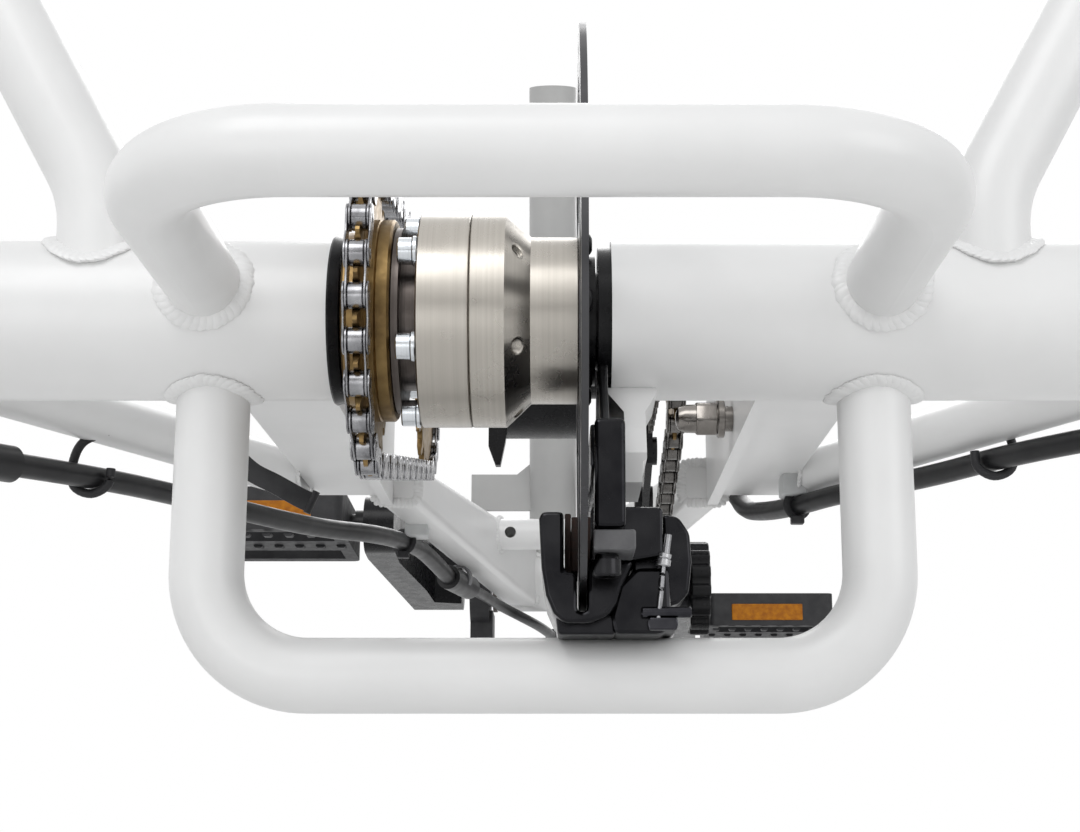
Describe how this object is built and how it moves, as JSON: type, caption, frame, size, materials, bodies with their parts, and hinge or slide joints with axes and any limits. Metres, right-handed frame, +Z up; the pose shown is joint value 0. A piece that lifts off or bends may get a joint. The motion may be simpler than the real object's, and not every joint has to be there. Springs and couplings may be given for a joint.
{
  "type": "rear frame and axle drive of an electric tricycle",
  "caption": "Rear part of an electric tricycle: welded axle frame with guard hoops, differential, two chain drives, brake disc and caliper, half shafts, cranks and pedals.",
  "frame": {"origin": "middle of the seat tube's reamed bore, on the tricycle's centre line", "axes": "+X to the right, +Y forward, +Z up as the tricycle stands; the axle runs along X behind and below the origin"},
  "size_m": [0.68, 0.9293, 0.4079],
  "materials": {
    "white_powder_coat": "satin powder coat",
    "grey_powder_coat": "satin powder coat",
    "turned_nickel": "turned, nickel plated",
    "dark_steel": "oiled dark steel",
    "journal_steel": "ground steel",
    "brake_disc_steel": "ground stainless steel",
    "bronze_freewheel": "bronze-coloured plate",
    "chain_steel": "nickel plated",
    "black_cast": "satin black paint",
    "pad_compound": "pressed friction compound",
    "black_resin": "moulded black resin",
    "cable_black": "extruded cable jacket"
  },
  "bodies": {
    "frame": {"left_axle_tube": "white_powder_coat", "right_axle_tube": "white_powder_coat", "guard_hoop_upper": "white_powder_coat", "guard_hoop_lower": "white_powder_coat", "left_stay": "white_powder_coat", "right_stay": "white_powder_coat", "left_outer_stay": "white_powder_coat", "right_outer_stay": "white_powder_coat", "left_jackshaft_plate": "white_powder_coat", "right_jackshaft_plate": "white_powder_coat", "left_carrier": "white_powder_coat", "right_carrier": "white_powder_coat", "stay_bridge": "white_powder_coat", "bottom_bracket_shell": "white_powder_coat", "left_upright": "white_powder_coat", "right_upright": "white_powder_coat", "rack_pads": "white_powder_coat", "brake_tab": "white_powder_coat", "seat_tube": "grey_powder_coat", "seat_tube_gusset": "grey_powder_coat", "jackshaft": "dark_steel", "bottom_bracket_cups": "dark_steel", "freewheel_ring": "bronze_freewheel", "jackshaft_sprockets": "bronze_freewheel", "drive_chain": "chain_steel", "crank_chain": "chain_steel", "caliper_bracket": "black_cast", "caliper_body": "black_cast", "caliper_arm": "black_cast", "chain_tensioner": "black_cast", "jackshaft_hub": "black_cast", "right_bearing_cap": "black_cast", "brake_pads": "pad_compound", "pedal_sensor": "black_resin", "freewheel_shield": "black_resin", "inner_bearings": "black_resin", "outer_bearings": "black_resin", "left_cable": "cable_black", "left_cable_front": "cable_black", "right_cable": "cable_black", "brake_cable": "cable_black", "cable_connectors": "cable_black"},
    "differential": {"differential_left_cover": "turned_nickel", "differential_housing": "turned_nickel", "freewheel_hub": "dark_steel", "differential_journal": "journal_steel", "brake_rotor": "brake_disc_steel"},
    "left_shaft": {"left_half_shaft": "journal_steel"},
    "right_shaft": {"right_half_shaft": "journal_steel"},
    "crank": {"crank_spindle": "journal_steel", "left_crank": "black_cast", "right_crank": "black_cast", "chainring": "black_cast"},
    "left_pedal_body": {"left_pedal": "black_resin"},
    "right_pedal_body": {"right_pedal": "black_resin"}
  },
  "joints": [
    {"name": "differential_spin", "type": "hinge", "parent": "frame", "child": "differential", "pos_m": [0, -0.52424, -0.18818], "axis": [1, 0, 0], "continuous": true},
    {"name": "left_wheel_spin", "type": "hinge", "parent": "frame", "child": "left_shaft", "pos_m": [0, -0.52424, -0.18818], "axis": [1, 0, 0], "continuous": true},
    {"name": "right_wheel_spin", "type": "hinge", "parent": "frame", "child": "right_shaft", "pos_m": [0, -0.52424, -0.18818], "axis": [1, 0, 0], "continuous": true},
    {"name": "crank_spin", "type": "hinge", "parent": "frame", "child": "crank", "pos_m": [0, 0.05176, -0.19318], "axis": [1, 0, 0], "continuous": true},
    {"name": "left_pedal_spin", "type": "hinge", "parent": "crank", "child": "left_pedal_body", "pos_m": [0, -0.11309, -0.18613], "axis": [1, 0, 0], "continuous": true},
    {"name": "right_pedal_spin", "type": "hinge", "parent": "crank", "child": "right_pedal_body", "pos_m": [0, 0.21661, -0.20024], "axis": [1, 0, 0], "continuous": true}
  ]
}
